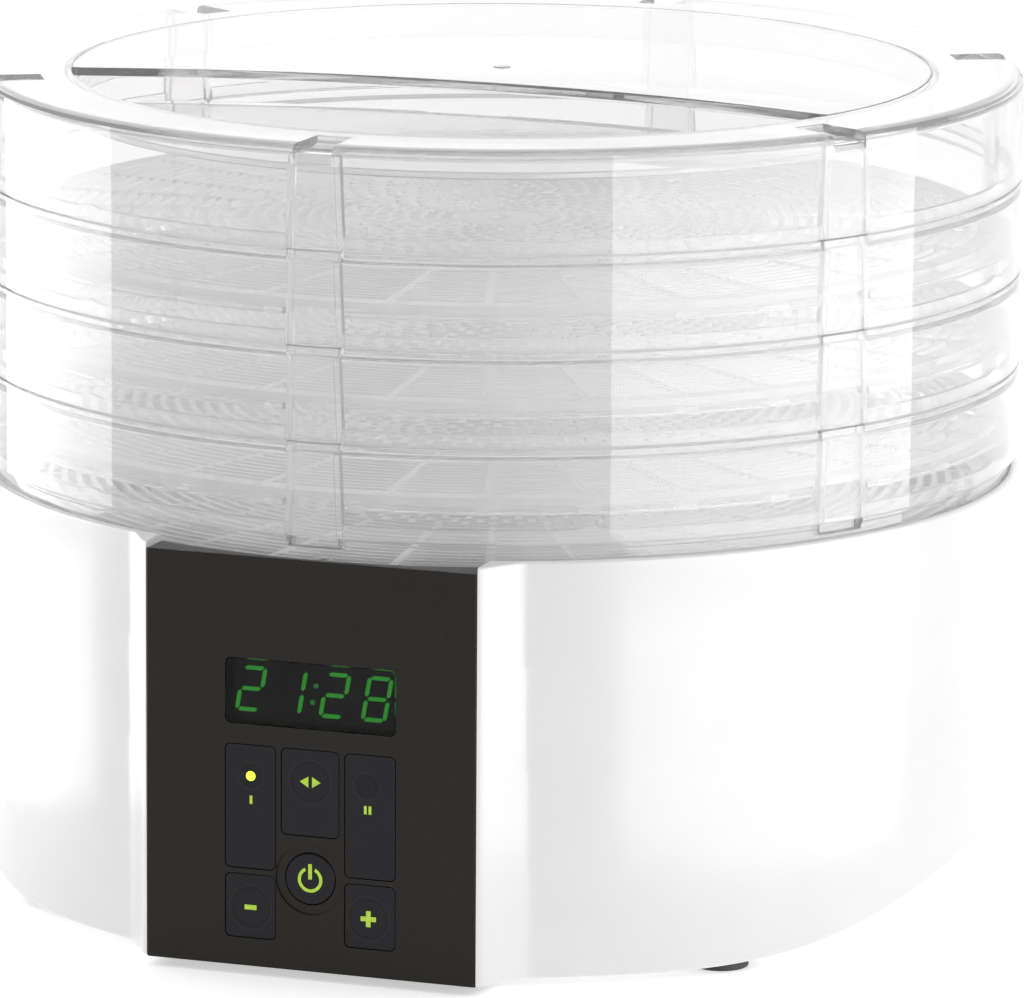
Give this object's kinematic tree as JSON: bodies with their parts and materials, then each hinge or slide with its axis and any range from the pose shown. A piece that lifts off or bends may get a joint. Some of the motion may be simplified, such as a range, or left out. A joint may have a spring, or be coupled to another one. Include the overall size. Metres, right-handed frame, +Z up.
{
  "type": "food dehydrator",
  "caption": "Round stacking food dehydrator: a white drum base with a black control panel, a fan and a heater, under three clear trays with grids and a deep clear lid.",
  "frame": {"origin": "bottom centre, on the table under the rubber feet, on the drum's axis", "axes": "+Z up along the drum's axis, -Y to the front where the control panel faces, +X to the right as the user sees it"},
  "size_m": [0.33, 0.3316, 0.2584],
  "materials": {
    "white_shell": "high-gloss white ABS",
    "clear_stack": "clear polished polystyrene",
    "panel_gloss": "piano black",
    "panel_moulding": "fine satin black",
    "smoked_window": "smoked acrylic",
    "key_film": "satin blue-black film with printed icons",
    "digit_light": "lit green segments",
    "lamp_light": "lit yellow-green lamp",
    "foot_rubber": "matte black",
    "cover_plastic": "fine-textured light grey",
    "gland_black": "matte black nylon",
    "steel": "zinc-plated",
    "lamination": "stacked silicon steel, varnished",
    "copper": "enamelled copper winding",
    "bronze": "sintered bronze",
    "board_green": "solder mask",
    "component_black": "moulded component case",
    "component_blue": "sleeved capacitor and relay",
    "core_steel": "varnished transformer core",
    "ribbon_grey": "ribbon cable",
    "fan_plastic": "heat-resistant black plastic",
    "mica": "mica sheet",
    "heater_wire": "resistance wire",
    "galvanised": "bright sheet"
  },
  "bodies": {
    "base": {"base_housing": "white_shell", "bottom_cover": "cover_plastic", "cover_screws": "steel", "rubber_feet": "foot_rubber", "deck_grille": "clear_stack", "deck_screws": "steel", "seat_ring": "clear_stack", "cord_gland": "gland_black", "panel_body": "panel_moulding", "panel_front": "panel_gloss", "display_window": "smoked_window", "display_digits": "digit_light", "display_module": "component_black", "indicator_windows": "key_film", "indicator_lamps": "lamp_light", "control_board": "board_green", "board_screws": "steel", "key_switches": "component_black", "power_board": "board_green", "transformer": "core_steel", "relay": "component_blue", "capacitors": "component_blue", "terminal_block": "component_black", "ribbon_cable": "ribbon_grey", "motor_stator": "lamination", "motor_coil": "copper", "motor_bracket_lower": "steel", "motor_bracket_upper": "steel", "motor_bearings": "bronze", "motor_screws": "steel", "air_duct": "galvanised", "heater_frame": "mica", "heater_coil": "heater_wire", "thermal_cutout": "steel", "thermostat": "component_black"},
    "fan_rotor": {"motor_shaft": "steel", "motor_rotor": "lamination", "fan_impeller": "fan_plastic", "fan_nut": "bronze"},
    "key_power": {"key_power": "key_film"},
    "key_program": {"key_program": "key_film"},
    "key_time_minus": {"key_time_minus": "key_film"},
    "key_time_plus": {"key_time_plus": "key_film"},
    "tray_3": {"tray_3": "clear_stack"},
    "tray_2": {"tray_2": "clear_stack"},
    "tray_1": {"tray_1": "clear_stack"},
    "tray_3_grid": {"tray_3_grid": "clear_stack"},
    "tray_2_grid": {"tray_2_grid": "clear_stack"},
    "tray_1_grid": {"tray_1_grid": "clear_stack"},
    "lid": {"lid": "clear_stack"}
  },
  "joints": [
    {"name": "fan_spin", "type": "hinge", "parent": "base", "child": "fan_rotor", "pos_m": [0, 0, 0.054], "axis": [0, 0, 1], "continuous": true},
    {"name": "key_power_press", "type": "slide", "parent": "base", "child": "key_power", "axis": [0, 1, 0], "range_m": [0, 0.0006], "stiffness_N_per_m": 900},
    {"name": "key_program_press", "type": "slide", "parent": "base", "child": "key_program", "axis": [0, 1, 0], "range_m": [0, 0.0006], "stiffness_N_per_m": 900},
    {"name": "key_time_minus_press", "type": "slide", "parent": "base", "child": "key_time_minus", "axis": [0, 1, 0], "range_m": [0, 0.0006], "stiffness_N_per_m": 900},
    {"name": "key_time_plus_press", "type": "slide", "parent": "base", "child": "key_time_plus", "axis": [0, 1, 0], "range_m": [0, 0.0006], "stiffness_N_per_m": 900},
    {"name": "tray_3_lift", "type": "slide", "parent": "base", "child": "tray_3", "axis": [0, 0, 1], "range_m": [0, 0.05]},
    {"name": "tray_2_lift", "type": "slide", "parent": "tray_3", "child": "tray_2", "axis": [0, 0, 1], "range_m": [0, 0.05]},
    {"name": "tray_1_lift", "type": "slide", "parent": "tray_2", "child": "tray_1", "axis": [0, 0, 1], "range_m": [0, 0.05]},
    {"name": "lid_lift", "type": "slide", "parent": "tray_1", "child": "lid", "axis": [0, 0, 1], "range_m": [0, 0.05]},
    {"name": "tray_3_grid_lift", "type": "slide", "parent": "tray_3", "child": "tray_3_grid", "axis": [0, 0, 1], "range_m": [0, 0.012]},
    {"name": "tray_2_grid_lift", "type": "slide", "parent": "tray_2", "child": "tray_2_grid", "axis": [0, 0, 1], "range_m": [0, 0.012]},
    {"name": "tray_1_grid_lift", "type": "slide", "parent": "tray_1", "child": "tray_1_grid", "axis": [0, 0, 1], "range_m": [0, 0.012]}
  ]
}
